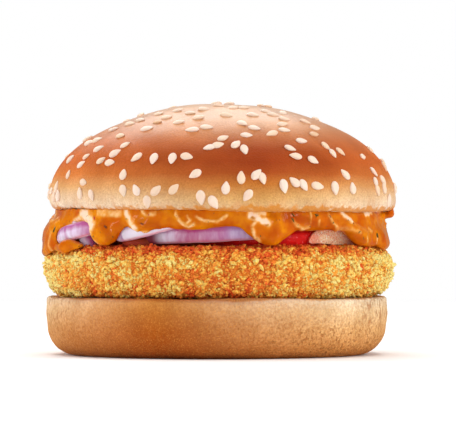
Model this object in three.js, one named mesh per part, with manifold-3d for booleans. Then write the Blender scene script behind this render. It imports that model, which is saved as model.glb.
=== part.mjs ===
// An aloo tikki burger: a sesame bun with a crumbed potato patty, tomato slices, red onion
// and a thick orange sauce that hangs from under the crown in uneven drips.
//
// Millimetres, +Z up. The origin is the middle of the face that the heel rests on. The front of
// the burger faces -Y. Bearings are in degrees: 0 is the front, and +90 is the right side, +X.

import * as THREE from "three";
import { mergeVertices } from "three/addons/utils/BufferGeometryUtils.js";
import Module from "manifold-3d";

const wasm = await Module();
wasm.setup();

// ---------------------------------------------------------------- driving dimensions

const GAP = 0.3; // air kept between pieces that touch
const BUN_RADIUS = 50; // at the widest part of the crown

const HEEL = {
  height: 16.8,
  radius: 0.992 * BUN_RADIUS,
  foot: 0.82 * BUN_RADIUS, // radius of the flat that it rests on
  corner: 8.5, // height of the rounding above that flat
  lip: 1.4, // rounding under the cut face
};

const PATTY = {
  bottom: HEEL.height + GAP,
  thickness: 14.4,
  flat: 0.88 * BUN_RADIUS, // radius of its level top and bottom
  bulge: 6.6, // how far the side swells past the flat
  waist: 8.2, // height of the widest line
  shift: 0.5, // off centre, to the right
};
const PATTY_TOP = PATTY.bottom + PATTY.thickness;

const CROWN = {
  bottom: 41.6,
  face: 0.96 * BUN_RADIUS, // radius of the cut face
  rim: 3.3, // height of the widest line above the cut face
  dome: 27.5, // height of the dome above that line
  shift: 1.8, // off centre, to the right
  tilt: 0.5, // degrees, right side down
};

const SAUCE = {
  core: 34, // radius inside which the sauce fills the burger down to the patty
  underside: 38.4, // underside of the layer that runs on from there to the skirt
  hem: 37.2, // lower edge of the skirt between drips
  neck: 0.945 * BUN_RADIUS, // outer radius just under the crown
  shift: 0.9, // how far the neck is off centre, to the right
  belly: 0.935 * BUN_RADIUS, // outer radius at the hem
  brow: 39, // height where the skirt swells from the neck to the belly
  wall: 4, // thickness of the skirt
};

// Drips of the sauce: bearing, half width in degrees, how far the tip hangs below the hem, how far
// it swells past the belly, and the height where it swells if that is not the skirt's own.
const DRIPS = [
  { bearing: -84, half: 15, drop: 9.4, swell: 3.7 },
  { bearing: -42.5, half: 6.3, drop: 6.0, swell: 1.2 },
  { bearing: -26, half: 5.8, drop: 2.2, swell: 0.4 },
  { bearing: -9, half: 9, drop: 1.2, swell: 0.3 },
  { bearing: 19, half: 7.5, drop: 5.6, swell: 1.5 },
  { bearing: 38, half: 13, drop: 1.4, swell: 0.5 },
  { bearing: 65, half: 12, drop: 6.2, swell: 1.8, brow: 37.5 },
  { bearing: 80, half: 11, drop: 7.6, swell: 3.5, brow: 35.4 },
  { bearing: 112, half: 8, drop: 2.4, swell: 0.6 },
  { bearing: 134, half: 8, drop: 6.0, swell: 1.6 },
  { bearing: 158, half: 7, drop: 2.0, swell: 0.3 },
  { bearing: 180, half: 10, drop: 4.4, swell: 1.0 },
  { bearing: -153, half: 7, drop: 2.2, swell: 0.4 },
  { bearing: -128, half: 8, drop: 5.8, swell: 1.4 },
];

// Sauce that has run out beyond the skirt: its middle, its half length, depth and height, the
// bearing it lies along and its slope in degrees, right end up.
const RUNS = [
  { x: -41.6, y: -20.8, z: 31.0, half: [8.6, 3.4, 1.9], bearing: -63, lift: 3 }, // on the patty's shoulder
  { x: -41.5, y: -23.0, z: 31.2, half: [4.2, 3.4, 2.6], bearing: -62, lift: 3 }, // the bead it ends in
  { x: 39.6, y: -23.6, z: 35.4, half: [11.5, 2.6, 2.4], bearing: 60, lift: -21 }, // a fold on the right
  { x: 49.6, y: -2, z: 40.4, half: [1.9, 3, 1.2], bearing: 0, lift: 0 }, // a curl at the crown's corner
];

const TOMATO = { radius: 20.5, thickness: 4, level: PATTY_TOP + GAP };

// Whole tomato slices, by the place of their middle.
const TOMATO_SLICES = {
  tomato_front: { x: 11, y: -18.5, radius: 21.5 },
  tomato_back: { x: -13, y: 20, radius: TOMATO.radius },
};
// The end cut off a smaller slice: the middle of its straight cut, the bearing that the cut faces,
// the radius of the slice, its depth behind the cut, its thickness and its slope, right end up.
const TOMATO_END = { x: 34, y: -26, bearing: 48, radius: 15, depth: 6, thickness: 4.5, lift: -3 };

// Petals of red onion. x and y are the middle of the arc that a petal follows, radius is that of
// its outer side, from and to are bearings about that middle, base is the height of its foot, and
// lift is its slope in degrees, right end up.
const ONION = { height: 4.7, thickness: 2.4, belly: 0.5 };
const PETALS = {
  onion_front: { x: 1, y: -16, radius: 28, from: -54, to: 25, base: 32.5, lift: 2.2, height: 5.3 },
  onion_front_left: { x: -8, y: -16.4, radius: 27, from: -50, to: -6, base: 34.2, lift: 13 },
  onion_left: { x: -27.5, y: -13, radius: 18, from: -88, to: -20, base: 33.0, lift: 11 },
  onion_left_under: { x: -31.5, y: -11, radius: 15, from: -43, to: -11, base: 33.3, lift: -60, height: 3.2 },
  onion_right: { x: 26, y: 4, radius: 17.5, from: 66, to: 150, base: 32.0, lift: 0 },
  onion_back: { x: 6, y: 14, radius: 29, from: 148, to: 206, base: 32.0, lift: 2 },
  onion_back_left: { x: -24, y: 12, radius: 20, from: 218, to: 285, base: 36.1, lift: 0, height: 4 },
};

const SIDES = { bun: 44, patty: 46, sauce: 85, tomato: 30 };

// ---------------------------------------------------------------- helpers

const radians = THREE.MathUtils.degToRad;

// Points of an elliptical arc about (r, z), from one angle to another, in degrees.
function arc(r, z, half, rise, from, to, steps) {
  return Array.from({ length: steps + 1 }, (_, i) => {
    const angle = radians(from + ((to - from) * i) / steps);
    return new THREE.Vector2(r + half * Math.cos(angle), z + rise * Math.sin(angle));
  });
}

// A body turned about +Z whose profile may change with the bearing. profileAt gives the same
// number of points for each bearing, from the lower end of the axis to the upper one.
function turned(profileAt, sides) {
  const geometry = new THREE.LatheGeometry(profileAt(0), sides);
  const count = profileAt(0).length;
  const position = geometry.getAttribute("position");
  for (let side = 0; side <= sides; side++) {
    const bearing = (360 * (side % sides)) / sides;
    const turn = radians(bearing);
    profileAt(bearing).forEach((point, i) => {
      const along = [point.x * Math.sin(turn), -point.x * Math.cos(turn), point.y];
      position.setXYZ(side * count + i, ...along);
    });
  }
  return geometry;
}

// A gentle unevenness of a hand-made round shape, as a share of its radius.
function wobble(bearing, size, phase) {
  const turn = radians(bearing);
  const waves = Math.sin(2 * turn + phase) + 0.6 * Math.sin(3 * turn + 2 * phase) + 0.4 * Math.sin(5 * turn);
  return size * waves;
}

function solid(geometry, matrix = new THREE.Matrix4()) {
  const plain = new THREE.BufferGeometry();
  plain.setAttribute("position", geometry.getAttribute("position").clone());
  if (geometry.index) plain.setIndex(geometry.index.clone());
  const merged = mergeVertices(plain.applyMatrix4(matrix), 1e-4);
  const vertProperties = new Float32Array(merged.getAttribute("position").array);
  const triVerts = new Uint32Array(merged.index.array);
  return new wasm.Manifold(new wasm.Mesh({ numProp: 3, vertProperties, triVerts }));
}

// The largest body of a solid, as a geometry: a cut can leave crumbs behind.
function geometryOf(made) {
  const largest = made.decompose().reduce((a, b) => (a.volume() > b.volume() ? a : b));
  const mesh = largest.getMesh();
  const geometry = new THREE.BufferGeometry();
  geometry.setAttribute("position", new THREE.BufferAttribute(mesh.vertProperties, 3));
  geometry.setIndex(new THREE.BufferAttribute(mesh.triVerts, 1));
  return geometry;
}

function finish(color, roughness) {
  return new THREE.MeshStandardMaterial({ color, roughness, metalness: 0 });
}

function named(name, geometry, material) {
  const mesh = new THREE.Mesh(geometry, material);
  mesh.name = name;
  return mesh;
}

// ---------------------------------------------------------------- bun

function heelGeometry() {
  const { height, radius, foot, corner, lip } = HEEL;
  const waist = 0.7 * height;
  const profile = [
    new THREE.Vector2(0, 0),
    ...arc(foot, corner, radius - 0.5 - foot, corner, -90, 0, 5),
    new THREE.Vector2(radius, waist),
    ...arc(radius - 0.3 - lip, height - lip, lip, lip, 0, 90, 2),
    new THREE.Vector2(0, height),
  ];
  return turned((bearing) => {
    const share = 1 + wobble(bearing, 0.003, 1.2);
    return profile.map((p) => new THREE.Vector2(p.x * share, p.y));
  }, SIDES.bun);
}

function crownGeometry() {
  const { face, rim, dome } = CROWN;
  const profile = [
    new THREE.Vector2(0, 0),
    ...arc(face, rim, BUN_RADIUS - face, rim, -90, 0, 3),
    ...arc(0, rim, BUN_RADIUS, dome, 0, 90, 10).slice(1, -1),
    new THREE.Vector2(0, rim + dome),
  ];
  return turned((bearing) => {
    const share = 1 + wobble(bearing, 0.003, 0.4);
    return profile.map((p) => new THREE.Vector2(p.x * share, p.y));
  }, SIDES.bun);
}

// ---------------------------------------------------------------- patty

// grow makes the same patty larger all round, for cutting its neighbours clear of it.
function pattyGeometry(grow = 0) {
  const { bottom, thickness, flat, bulge, waist } = PATTY;
  return turned((bearing) => {
    const flatHere = flat * (1 + wobble(bearing, 0.004, 2.1));
    const side = bulge + grow;
    return [
      new THREE.Vector2(0, bottom - grow),
      ...arc(flatHere, bottom + waist, side, waist + grow, -90, 0, 4),
      ...arc(flatHere, bottom + waist, side, thickness - waist + grow, 0, 90, 4).slice(1),
      new THREE.Vector2(0, bottom + thickness + grow),
    ];
  }, SIDES.patty);
}

// ---------------------------------------------------------------- tomato

// A slice with the shallow lobes of a ripe tomato and a rounded rim.
function tomatoGeometry(radius, thickness, grow = 0) {
  const half = thickness / 2 + grow;
  const round = 1.1;
  return turned((bearing) => {
    const lobes = 0.25 * Math.cos(radians(5 * bearing));
    const reach = radius + lobes + grow;
    return [
      new THREE.Vector2(0, -half),
      ...arc(reach - round, 0, round, half, -90, 90, 3),
      new THREE.Vector2(0, half),
    ];
  }, SIDES.tomato);
}

// The end of a slice behind a straight cut, which faces -Y with its middle at the origin.
function tomatoEndGeometry(grow = 0) {
  const { radius, depth, thickness } = TOMATO_END;
  const wide = 4 * radius;
  const keep = new THREE.BoxGeometry(wide, wide, 3 * thickness);
  const behind = solid(keep, new THREE.Matrix4().makeTranslation(0, wide / 2 - grow, 0));
  const forward = new THREE.Matrix4().makeTranslation(0, depth - radius, 0);
  const slice = solid(tomatoGeometry(radius, thickness, grow), forward);
  return geometryOf(slice.intersect(behind));
}

// ---------------------------------------------------------------- onion

// One layer cut from an onion: a band bent round an upright arc, swelling in the middle of its
// height and thinning towards its two ends. Its middle is the middle of the arc.
function petalGeometry(petal, grow = 0) {
  const height = (petal.height ?? ONION.height) + 2 * grow;
  const thickness = ONION.thickness + 2 * grow;
  const endTurn = grow / petal.radius;
  const from = radians(petal.from) - endTurn;
  const to = radians(petal.to) + endTurn;
  const steps = Math.max(5, Math.round((petal.radius * (to - from)) / 4.2));
  const geometry = new THREE.BoxGeometry(1, 1, 1, steps, 2, 3);
  const position = geometry.getAttribute("position");
  for (let i = 0; i < position.count; i++) {
    const along = 2 * position.getX(i);
    const across = -2 * position.getY(i);
    const up = 2 * position.getZ(i);
    const square = Math.max(Math.abs(across), Math.abs(up), 1e-9);
    const round = square / Math.pow(Math.abs(across) ** 4 + Math.abs(up) ** 4 + 1e-12, 1 / 4);
    const taper = 1 - 0.38 * Math.pow(Math.abs(along), 6);
    const rise = (up * round * taper * height) / 2;
    const belly = ONION.belly * (1 - up * up);
    const reach = petal.radius + belly - thickness / 2 + (across * round * taper * thickness) / 2 + grow;
    const turn = from + ((along + 1) / 2) * (to - from);
    position.setXYZ(i, reach * Math.sin(turn), -reach * Math.cos(turn), rise);
  }
  return geometry;
}

// Stands a petal on its foot, sloping about the middle of its own arc.
function petalMatrix(petal) {
  const middle = radians((petal.from + petal.to) / 2);
  const height = petal.height ?? ONION.height;
  const x = petal.radius * Math.sin(middle);
  const y = -petal.radius * Math.cos(middle);
  const outwards = new THREE.Vector3(x, y, 0).normalize();
  const there = new THREE.Matrix4().makeTranslation(petal.x + x, petal.y + y, petal.base + height / 2);
  const slope = new THREE.Matrix4().makeRotationAxis(outwards, radians(petal.lift));
  return there.multiply(slope).multiply(new THREE.Matrix4().makeTranslation(-x, -y, 0));
}

// ---------------------------------------------------------------- sauce

// How much of a drip is felt at a bearing, from 0 to 1.
function reachOf(drip, bearing) {
  const away = THREE.MathUtils.euclideanModulo(bearing - drip.bearing + 180, 360) - 180;
  return Math.exp(-Math.pow(Math.abs(away) / drip.half, 3.4));
}

// The largest value that the drips give at a bearing.
function dripValue(bearing, value) {
  return Math.max(...DRIPS.map((drip) => value(drip) * reachOf(drip, bearing)));
}

function sauceGeometry() {
  const { core, underside, hem, neck, shift, belly, brow, wall } = SAUCE;
  const lid = CROWN.bottom + 1.6;
  const collar = CROWN.bottom - 0.6;
  const { lerp, clamp } = THREE.MathUtils;
  return turned((bearing) => {
    const low = hem - dripValue(bearing, (drip) => drip.drop);
    const out = belly + dripValue(bearing, (drip) => drip.swell);
    const top = neck + shift * Math.sin(radians(bearing));
    const bead = low + Math.min(1.6, 0.35 * (collar - low));
    const quarter = (collar - bead) / 4;
    const droop = dripValue(bearing, (drip) => brow - (drip.brow ?? brow));
    const swelling = clamp(brow - droop, bead + quarter, collar - quarter);
    const skirt = (inwards, height) => new THREE.Vector2(lerp(out, top, inwards), height);
    return [
      new THREE.Vector2(0, PATTY_TOP + GAP),
      new THREE.Vector2(core, PATTY_TOP + GAP),
      new THREE.Vector2(core + 0.6, underside),
      new THREE.Vector2(belly - 1.5 * wall, underside),
      new THREE.Vector2(out - wall, Math.min(low + 1.6, underside - 0.3)),
      new THREE.Vector2(out - 0.6 * wall, low),
      new THREE.Vector2(out - 0.22 * wall, low + 0.3),
      new THREE.Vector2(out - 0.04 * wall, bead),
      skirt(0, lerp(bead, swelling, 0.45)),
      skirt(0.2, lerp(bead, swelling, 0.85)),
      skirt(0.6, lerp(swelling, collar, 0.2)),
      skirt(0.9, lerp(swelling, collar, 0.6)),
      new THREE.Vector2(top, collar),
      new THREE.Vector2(top - 0.4, lid),
      new THREE.Vector2(0, lid),
    ];
  }, SIDES.sauce);
}

function runOfSauce(run) {
  const place = new THREE.Matrix4().makeTranslation(run.x, run.y, run.z);
  const turn = new THREE.Matrix4().makeRotationZ(radians(run.bearing));
  const slope = new THREE.Matrix4().makeRotationY(radians(-run.lift));
  const matrix = place.multiply(turn).multiply(slope).scale(new THREE.Vector3(...run.half));
  return solid(new THREE.SphereGeometry(1, 12, 7), matrix);
}

// ---------------------------------------------------------------- the burger

const crust = finish(0xb5622e, 0.45);
const crumb = finish(0xc98a50, 0.85);
const fried = finish(0xd98a38, 0.8);
const flesh = finish(0xc8281c, 0.3);
const petalSkin = finish(0xb070a8, 0.3);
const orange = finish(0xcc6a10, 0.2);

const burger = new THREE.Group();

burger.add(named("heel", heelGeometry(), crumb));

const patty = named("patty", pattyGeometry(), fried);
patty.position.x = PATTY.shift;
burger.add(patty);

const crown = named("crown", crownGeometry(), crust);
crown.position.set(CROWN.shift, 0, CROWN.bottom);
crown.rotation.y = radians(CROWN.tilt);
burger.add(crown);

// Each piece of the filling is kept beside a slightly larger copy of itself, which cuts the pieces
// laid over it and the sauce clear.
const clearances = [];

for (const [name, slice] of Object.entries(TOMATO_SLICES)) {
  const { thickness, level } = TOMATO;
  const mesh = named(name, tomatoGeometry(slice.radius, thickness), flesh);
  mesh.position.set(slice.x, slice.y, level + thickness / 2);
  mesh.updateMatrix();
  burger.add(mesh);
  clearances.push(solid(tomatoGeometry(slice.radius, thickness, GAP), mesh.matrix));
}

const pattyClear = solid(pattyGeometry(GAP), new THREE.Matrix4().makeTranslation(PATTY.shift, 0, 0));

{
  const { x, y, bearing, thickness, lift } = TOMATO_END;
  const place = new THREE.Matrix4().makeTranslation(x, y, TOMATO.level + thickness / 2);
  const turn = new THREE.Matrix4().makeRotationZ(radians(bearing));
  const slope = new THREE.Matrix4().makeRotationY(radians(-lift));
  const matrix = place.multiply(turn).multiply(slope);
  const cut = clearances.reduce((made, clear) => made.subtract(clear), solid(tomatoEndGeometry(), matrix));
  burger.add(named("tomato_end", geometryOf(cut.subtract(pattyClear)), flesh));
  clearances.push(solid(tomatoEndGeometry(GAP), matrix));
}

for (const [name, petal] of Object.entries(PETALS)) {
  const matrix = petalMatrix(petal);
  const cut = clearances.reduce((made, clear) => made.subtract(clear), solid(petalGeometry(petal), matrix));
  burger.add(named(name, geometryOf(cut.subtract(pattyClear)), petalSkin));
  clearances.push(solid(petalGeometry(petal, GAP), matrix));
}

crown.updateMatrix();
const lowered = new THREE.Matrix4().makeTranslation(0, 0, -GAP).multiply(crown.matrix);
const crownClear = solid(crown.geometry, lowered);
const sauce = [...clearances, pattyClear, crownClear].reduce(
  (made, clear) => made.subtract(clear),
  RUNS.reduce((made, run) => made.add(runOfSauce(run)), solid(sauceGeometry())),
);
burger.add(named("sauce", geometryOf(sauce), orange));

export default burger;
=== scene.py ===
"""An aloo tikki burger: a sesame bun with a crumbed potato patty, tomato, red onion and sauce.

The burger stands on the middle of its heel and its front faces -Y. Pieces are modelled in
millimetres and scaled to metres as they are finished. Bearings are in degrees about +Z: 0 is the
front, and +90 is the right side, +X.
"""

import math
import random

import bmesh
import bpy
from mathutils import Matrix, Vector, noise
from mathutils.bvhtree import BVHTree


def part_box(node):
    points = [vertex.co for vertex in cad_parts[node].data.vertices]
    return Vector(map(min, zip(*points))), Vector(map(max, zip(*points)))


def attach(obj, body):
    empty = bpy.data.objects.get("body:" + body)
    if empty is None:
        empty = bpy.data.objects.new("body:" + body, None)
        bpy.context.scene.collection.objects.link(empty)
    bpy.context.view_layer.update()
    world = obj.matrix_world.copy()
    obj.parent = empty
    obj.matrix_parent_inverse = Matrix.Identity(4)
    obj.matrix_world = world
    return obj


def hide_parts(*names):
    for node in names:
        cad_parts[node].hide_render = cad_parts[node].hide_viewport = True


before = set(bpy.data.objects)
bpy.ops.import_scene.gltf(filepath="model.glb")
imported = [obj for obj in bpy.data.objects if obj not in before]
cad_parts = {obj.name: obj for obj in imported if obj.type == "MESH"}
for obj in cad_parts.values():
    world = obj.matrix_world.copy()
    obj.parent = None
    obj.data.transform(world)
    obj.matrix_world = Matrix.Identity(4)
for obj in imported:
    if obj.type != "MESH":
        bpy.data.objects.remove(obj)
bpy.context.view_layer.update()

MM = 0.001

# ---------------------------------------------------------------- sizes, in millimetres


def middle_and_reach(node):
    """The middle of a CAD node across, its radius, and its lowest and highest point."""
    low, high = (Vector(corner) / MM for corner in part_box(node))
    middle = (low + high) / 2
    return middle.x, middle.y, (high.x - low.x) / 2, low.z, high.z


_, _, HEEL_RADIUS, _, HEEL_TOP = middle_and_reach("heel")
PATTY_X, PATTY_Y, PATTY_RADIUS, PATTY_LOW, PATTY_TOP = middle_and_reach("patty")
CROWN_X, CROWN_Y, CROWN_RADIUS, _, CROWN_TOP = middle_and_reach("crown")
CROWN_TILT = 0.5  # degrees, right side down
CROWN_FACE = 41.6  # height of the middle of its cut face
CROWN_RIM = 3.3  # height of its widest line above that
PAINTED_SHADE_BEARINGS = dict(crown=12, heel=-20, patty=-4)  # bearings of the most painted shade: each is painted darker there and opposite, and paler towards its sides as painted side light

# Fried crumbs: sides 5 are chunky grains and 4 sharp ones, and sizes are about half their length.
CRUMBS = {
    "coarse_crumbs": dict(count=9600, sides=5, least=0.34, most=0.88, rough=0.3),
    "fine_crumbs": dict(count=23500, sides=4, least=0.24, most=0.5, rough=0.35),
}

# Red onion petals: the middle of the arc that each follows, its outer radius, its bearings about
# that middle, the height of its foot, its slope in degrees, right end up, and its own height.
# Where given, the last is the share of its length, from the left end, that is painted darker as a painted
# shadow.
PETAL_HEIGHT = 4.7
PETAL_THICKNESS = 2.4
PETALS = {
    "onion_front": dict(x=1, y=-16, radius=28, start=-54, end=25, base=32.5, lift=2.2, height=5.3,
                        stain_and_shade=0.27),
    "onion_front_left": dict(x=-8, y=-16.4, radius=27, start=-50, end=-6, base=34.2, lift=13),
    "onion_left": dict(x=-27.5, y=-13, radius=18, start=-88, end=-20, base=33.0, lift=11),
    "onion_left_under": dict(x=-31.5, y=-11, radius=15, start=-46, end=-8, base=33.0, lift=-58,
                             height=4.2),
    "onion_right": dict(x=26, y=4, radius=17.5, start=66, end=150, base=32.0, lift=0),
    "onion_back": dict(x=6, y=14, radius=29, start=148, end=206, base=32.0, lift=2),
    "onion_back_left": dict(x=-24, y=12, radius=20, start=218, end=285, base=36.1, lift=0, height=4),
}
# How white and how cool a petal's side is along its length: (share of the length, white, cool).
WASHES = {
    # The white patch near the left end of onion_front is partly a painted highlight.
    "onion_front": [(0, 0.1, 0.1), (0.14, 0.2, 0.1), (0.2, 0.85, 0.5), (0.3, 0.7, 0.4), (0.4, 0.4, 0.1),
                    (0.46, 0.25, 0), (0.68, 0.25, 0.3), (0.8, 0.4, 1), (1, 0.35, 1)],
    "onion_front_left": [(0, 0.6, 0.9), (0.1, 0.65, 0.9), (0.14, 0.2, 0.8), (0.18, 1.1, 0.8), (1, 1, 0.8)],
    "onion_left": [(0, 0.7, 0.4), (0.42, 0.7, 0.4), (0.45, 0.35, 0.3), (0.5, 0.7, 0.4), (0.7, 0.6, 0.3),
                   (0.84, 0.3, 0.25), (1, 0.25, 0.2)],
    "onion_left_under": [(0, 0.6, 0.1), (1, 0.6, 0.1)],
}
OTHER_WASHES = [(0, 0.3, 0.2), (0.3, 0.9, 0.4), (0.55, 0.3, 0.1), (0.8, 0.8, 0.6), (1, 0.2, 0.1)]

# The cut face of the tomato's end piece: a point on it, and the way it faces.
CUT_POINT = Vector((34, -26, 34))
CUT_BEARING = 48

# Seeds on the side that shows: bearing, height, the way the tip points (0 up, 90 right, 180 down)
# and size against the usual.
SEEDS = [
    (-72, 56, 40, 1), (-59, 56.7, 60, 0.8), (-59, 54.5, 45, 0.9), (-65, 51.7, 0, 0.8),
    (-73, 48.2, 0, 1), (-53, 49.5, 100, 0.9), (-70, 45.7, 0, 1), (-75, 45.7, 0, 1), (-54, 46.3, 5, 1),
    (-48, 46, 150, 1), (-48, 55.5, 40, 0.9), (-43, 54.9, 90, 1), (-55, 58.9, 50, 1), (-69, 60.7, 45, 1),
    (-64, 61.5, 60, 1), (-43, 57.5, 40, 1.1), (-41, 59.8, 40, 0.9), (-49, 62.5, 85, 1),
    (-63, 64.5, 60, 1), (-56, 66, 70, 1), (-53, 67.1, 80, 1), (-35, 51.5, 0, 1), (-32, 56.4, 215, 1.1),
    (-25, 56.1, 180, 1.15), (-18, 56.2, 185, 1.1), (-13, 56.7, 110, 1.1), (-38, 64.5, 70, 1.1),
    (-37, 66.5, 80, 0.9), (-36, 67.9, 70, 1), (-24, 66.5, 80, 1), (-49, 68.9, 60, 0.9),
    (-39, 69.9, 70, 1), (-24, 69.3, 100, 1), (-15, 67.9, 90, 1.1), (-17, 70.4, 60, 1.1),
    (-6, 71.6, 90, 1), (2, 68.8, 110, 1.1), (-14, 64.3, 270, 1.15), (-8, 65.1, 95, 1.1),
    (0, 61.8, 60, 1), (-2, 59.8, 70, 1.05), (-5, 59.2, 250, 1), (-34, 47.2, 160, 1),
    (-29, 47.2, 330, 1), (-25, 44.1, 180, 1.05), (-22, 47.1, 40, 1.1), (-16, 47.5, 40, 1.05),
    (-9, 51.8, 230, 1.1), (-7, 45.3, 170, 1.2), (-3, 44, 150, 1.2), (1, 47.7, 0, 1.1), (11, 71, 80, 1),
    (22, 71, 100, 1), (20, 68.8, 110, 1.05), (36, 69.9, 90, 1), (35, 68.8, 110, 1), (48, 69.3, 60, 1.1),
    (37, 67.4, 100, 1), (31, 65.8, 85, 1), (29, 64.2, 110, 1), (10, 66.4, 140, 1.1),
    (15, 65, 120, 1.05), (10, 62.9, 100, 1), (22, 63.3, 250, 1.1), (5, 60, 35, 1.1),
    (8, 58.6, 175, 1.05), (33, 61, 90, 1), (26, 59, 110, 1), (27, 56.7, 280, 1.1), (33, 55.5, 120, 1),
    (43, 59.5, 150, 0.95), (44, 57.5, 180, 0.95), (49, 58.1, 150, 0.95), (50, 66.7, 120, 1),
    (49, 64.8, 100, 1), (43, 62.9, 90, 1), (63, 57, 90, 0.85), (6, 50.5, 0, 1.1), (11, 51.4, 50, 1.1),
    (13, 50.5, 170, 1.05), (8, 45.8, 220, 1.1), (20, 48.4, 180, 1.2), (24, 49.4, 320, 1.05),
    (27, 48.7, 150, 1.05), (32, 48.4, 110, 1.1), (39, 47.9, 180, 1.15), (45, 51.5, 330, 1.05),
    (47, 47.7, 0, 1), (64, 52.7, 150, 1), (62, 49.6, 170, 0.95), (62, 47.4, 180, 0.95),
    (69, 50.2, 150, 1), (68, 47.9, 0, 1), (72, 44.3, 0, 1.15),
]
# Rows of seeds for the rest of the crown: height and count.
SEED_ROWS = [(44.5, 14), (47.5, 30), (50.5, 25), (54.0, 24), (57.5, 30), (61.0, 28),
             (64.5, 26), (67.5, 22), (70.0, 16), (71.6, 9), (72.3, 3)]

# Folds and smears on the sauce's skirt: how far each stands out (a pit goes in), how much cream film
# and painted highlight it gets (past 1 for a thick film, below 0 for painted shade, darker red-brown),
# its half width, and its course as (bearing, height) points.
FOLDS = [
    (0.20, 1.0, 1.3, [(-64, 36.8), (-57, 39.4), (-50, 40.2)]),
    (0.15, 1.5, 3.0, [(-54, 40.6), (-50, 39.2), (-47.5, 37.4)]),
    (0.15, 1.2, 1.4, [(-50, 37.5), (-48, 35)]),
    (0.30, 0.7, 0.45, [(-48.5, 36.5), (-47, 33.8), (-44.5, 31.9)]),
    (0.20, 0.8, 1.2, [(-45, 40.6), (-40, 40.4), (-35, 40.4)]),
    (0.15, 1.2, 1.3, [(-32.5, 40.8), (-30.8, 38.6), (-28.6, 36.6)]),
    (0.40, 0.9, 0.4, [(-29.5, 36.8), (-27.5, 35.7), (-22.5, 35.7)]),
    (0.35, 0.8, 0.32, [(-26.4, 40.9), (-24.2, 40.1), (-21, 40.6)]),
    (0.55, 0.9, 0.5, [(-13.8, 40.3), (-12, 38.3), (-9.5, 37.3), (-7.5, 37.9)]),
    (0.40, 0.8, 0.35, [(-9.8, 39.9), (-8.8, 38.9), (-9.8, 38.2)]),
    (0.50, 0.85, 0.4, [(-6.6, 39.9), (-4.3, 38.8), (0.4, 38.7), (3.7, 40.2)]),
    (0.30, 1.7, 1.5, [(11.5, 40.2), (14, 39.3), (17.5, 37.9)]),
    (0.30, 0.9, 0.6, [(14, 39), (12.2, 37.4)]),
    (0.25, 0.9, 0.5, [(13.5, 40.3), (16.5, 40.5)]),
    (-0.70, -1.0, 0.35, [(12.2, 39.7), (12.6, 39.6)]),
    (-0.70, -1.0, 0.35, [(16.6, 37.5), (17.4, 37.6)]),
    (0.15, -0.75, 3.0, [(-41.5, 37.5), (-39, 34.5), (-38, 32)]),
    (0.10, -0.6, 2.6, [(-27, 38.6), (-21, 37.6)]),
    (0.10, -0.6, 2.6, [(19.5, 40), (20, 36), (17, 33)]),
    (0.10, -0.8, 2.6, [(24, 39.8), (31, 39.4), (38, 37)]),
    (0.10, -0.6, 2.0, [(42, 38), (45, 35.6)]),
    (0.10, -0.6, 1.8, [(50, 36), (60, 33)]),
    (0.10, -0.6, 2.0, [(70, 37), (74, 34)]),
    (0.10, -0.6, 2.0, [(-66, 35), (-68, 32)]),
    (0.10, -0.5, 1.6, [(-3, 37.4), (5, 37.6)]),
    (0.35, 0.9, 0.45, [(12.4, 36.6), (13.1, 35), (15.2, 33)]),
    (0.50, 0.75, 0.55, [(26.4, 38.9), (28, 37.6), (31.6, 36.7), (33.4, 37.3)]),
    (0.30, 0.9, 0.28, [(33.7, 40.9), (34, 38.4)]),
    (0.30, 0.9, 0.28, [(37.3, 38.9), (37.3, 37.6)]),
    (0.50, 0.8, 0.45, [(41.5, 40.1), (43.4, 38.4), (46.5, 37)]),
    (0.40, 0.6, 0.65, [(46.5, 36.9), (52, 36.6), (57, 35.4)]),
    (0.50, 0.3, 0.4, [(47, 41), (50.6, 38.6), (57.3, 36.6), (62, 35.4)]),
    (0.20, 0.8, 0.6, [(44.5, 41.6), (46.5, 41.2)]),
    (0.25, 1.6, 1.0, [(47.5, 41), (49.5, 39.8), (51.5, 38.7)]),
    (0.25, 1.6, 0.7, [(61.5, 40.2), (67, 40.9)]),
    (0.30, 0.6, 0.35, [(62.5, 36.4), (66, 35.6)]),
    (0.25, 0.9, 0.4, [(69.5, 34.6), (69.5, 32.6)]),
    (0.25, 0.8, 0.35, [(61.5, 34.2), (62, 33)]),
    (0.20, 0.6, 0.8, [(-73, 35.5), (-75, 32), (-74, 28.6)]),
    (0.20, 0.5, 0.5, [(-70, 38.6), (-72, 38.0)]),
]
SKIRT_DEGREE = 0.846  # length of one degree round the skirt

# Sauce that lies among the onion at the left: middle and half sizes.
POOLS = [((-38.4, -17, 33), (3.2, 2.6, 2.4)), ((-21.5, -32, 32.4), (5.5, 4.2, 2.3))]

# Flecks of herb and chilli that show: bearing, height, size and tone (olive below 0.5, then brown,
# then red).
HERBS = [
    (-71, 36.5, 0.8, 0.3), (-40, 37.2, 0.7, 0.6), (-26, 38.5, 0.45, 0.6), (-47, 40.7, 0.6, 1.0),
    (26, 39.1, 0.5, 0.4), (27, 40.8, 0.45, 0.5), (36, 40.9, 0.5, 0.2), (42, 39.4, 0.35, 0.6),
    (44, 38, 0.35, 0.5), (52, 37.4, 0.35, 0.6), (56, 35, 0.4, 0.5), (59, 33.9, 0.35, 0.2),
    (68, 35, 0.7, 0.1), (-24, 40.8, 0.35, 1.0), (14, 34.2, 0.3, 0.3),
]

# ---------------------------------------------------------------- small helpers

random.seed(7)


def smoothstep(low, high, value):
    share = min(1.0, max(0.0, (value - low) / (high - low)))
    return share * share * (3 - 2 * share)


def bump_at(distance, width):
    """A round swelling: 1 at distance 0, and almost nothing past twice the width."""
    return math.exp(-((distance / width) ** 2))


def bearing_of(x, y):
    return math.degrees(math.atan2(x, -y))


def apart(bearing, other):
    """The signed difference of two bearings, from -180 to 180."""
    return (bearing - other + 180) % 360 - 180


def around(radius, bearing, height):
    turn = math.radians(bearing)
    return Vector((radius * math.sin(turn), -radius * math.cos(turn), height))


def from_axis(co):
    return math.hypot(co.x, co.y)


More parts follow.
